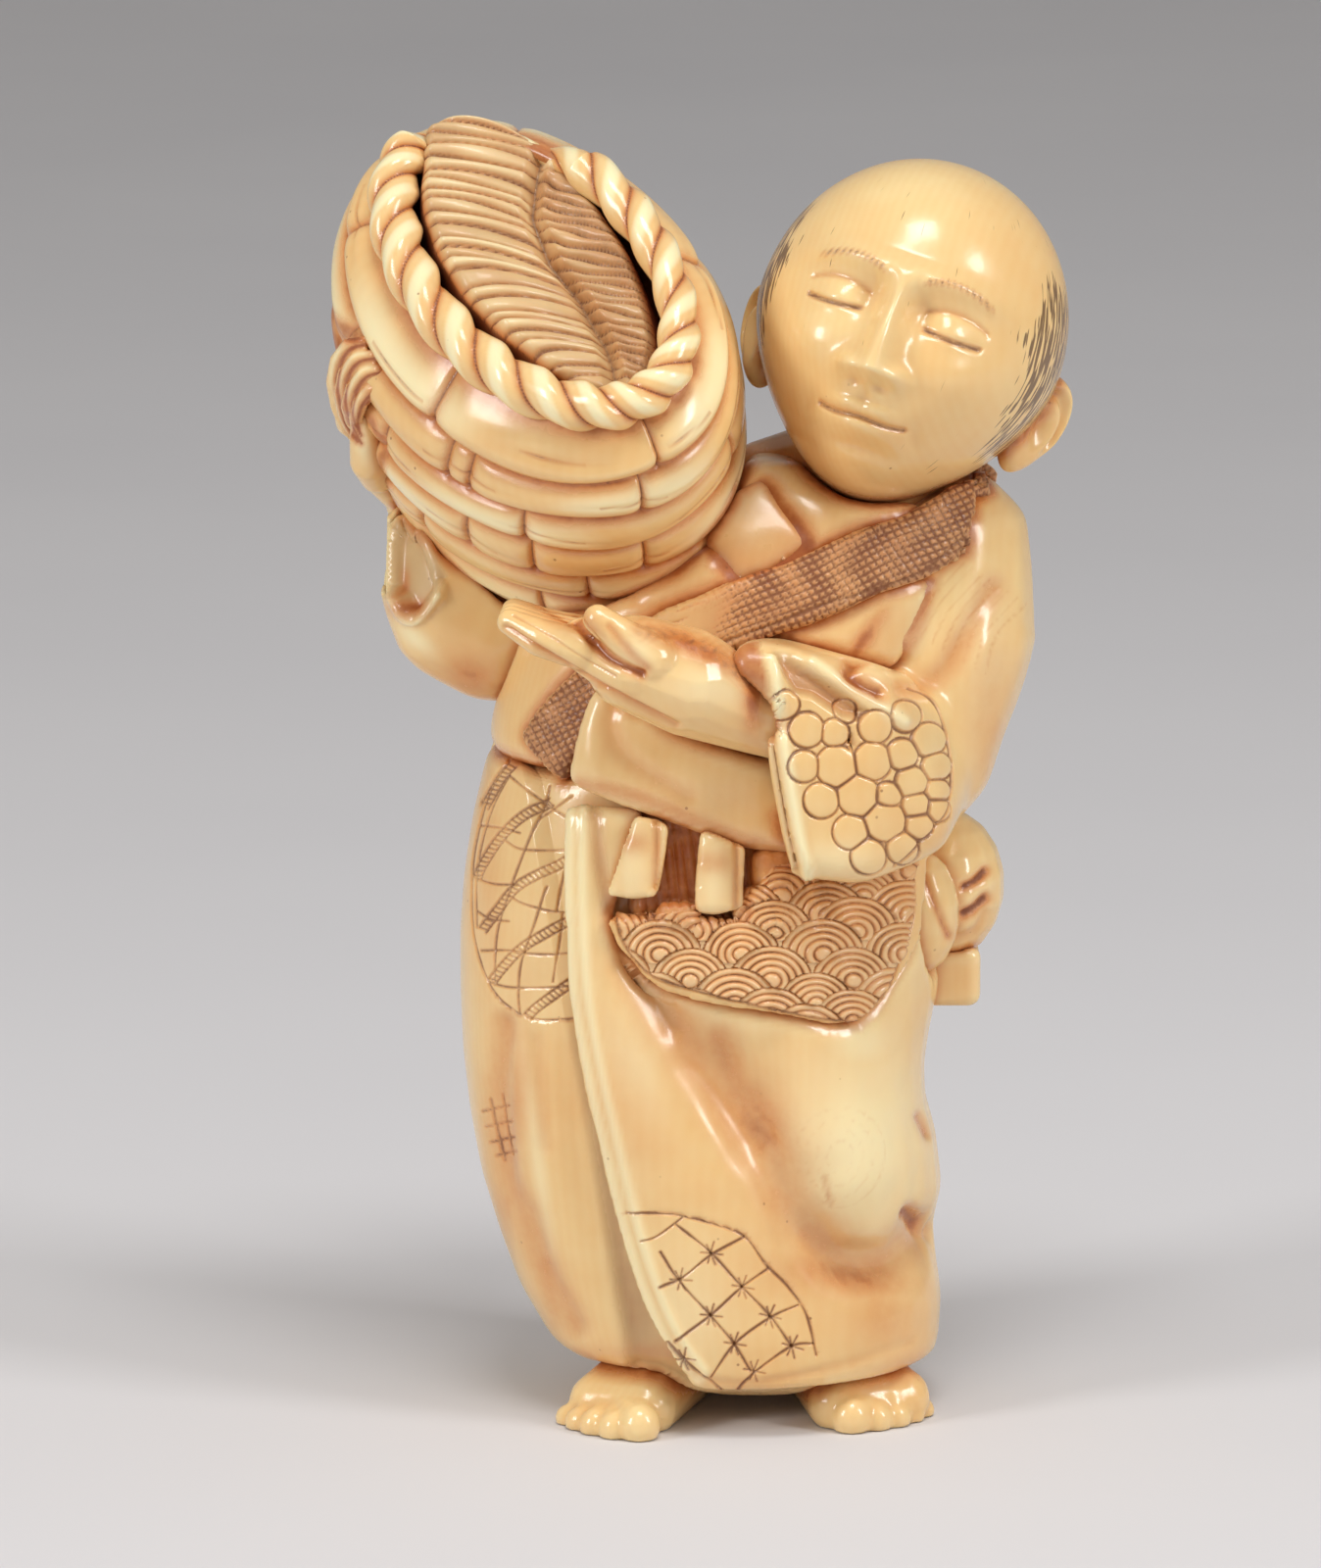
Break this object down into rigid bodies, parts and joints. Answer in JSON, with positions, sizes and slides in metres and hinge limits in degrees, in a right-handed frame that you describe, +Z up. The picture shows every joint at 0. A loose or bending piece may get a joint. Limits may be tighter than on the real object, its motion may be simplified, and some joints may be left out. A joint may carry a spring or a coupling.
{
  "type": "netsuke figurine",
  "caption": "Carved ivory netsuke of a robed man who stands and holds a tilted woven basket at his shoulder, with a cord channel through the back of the robe.",
  "frame": {"origin": "centre of the bounding box, on the plane the feet stand on", "axes": "+Z up along the figure, the figure faces -Y, +X on the right of someone who looks at its front"},
  "size_m": [0.0336, 0.0246, 0.0594],
  "materials": {
    "ivory": "polished ivory, warm cream, stained brown in the cuts",
    "pale_ivory": "polished ivory, paler where it is handled most",
    "stained_ivory": "engraved ivory with brown stain, less gloss"
  },
  "bodies": {
    "root": {"basket_wall": "ivory", "basket_rim": "ivory", "basket_lining": "stained_ivory", "head": "pale_ivory", "left_ear": "pale_ivory", "right_ear": "pale_ivory", "left_hand": "pale_ivory", "right_hand": "ivory", "left_sleeve": "ivory", "right_sleeve": "ivory", "left_foot": "pale_ivory", "right_foot": "pale_ivory", "robe_skirt": "ivory", "robe_bodice": "ivory", "sash_end_left": "ivory", "sash_end_right": "ivory", "wave_apron": "stained_ivory", "front_panel": "ivory", "sash": "ivory", "collar_band": "stained_ivory", "inner_lapel": "pale_ivory", "bow_loop": "ivory", "bow_strap": "ivory", "bow_tail": "ivory"}
  },
  "joints": []
}
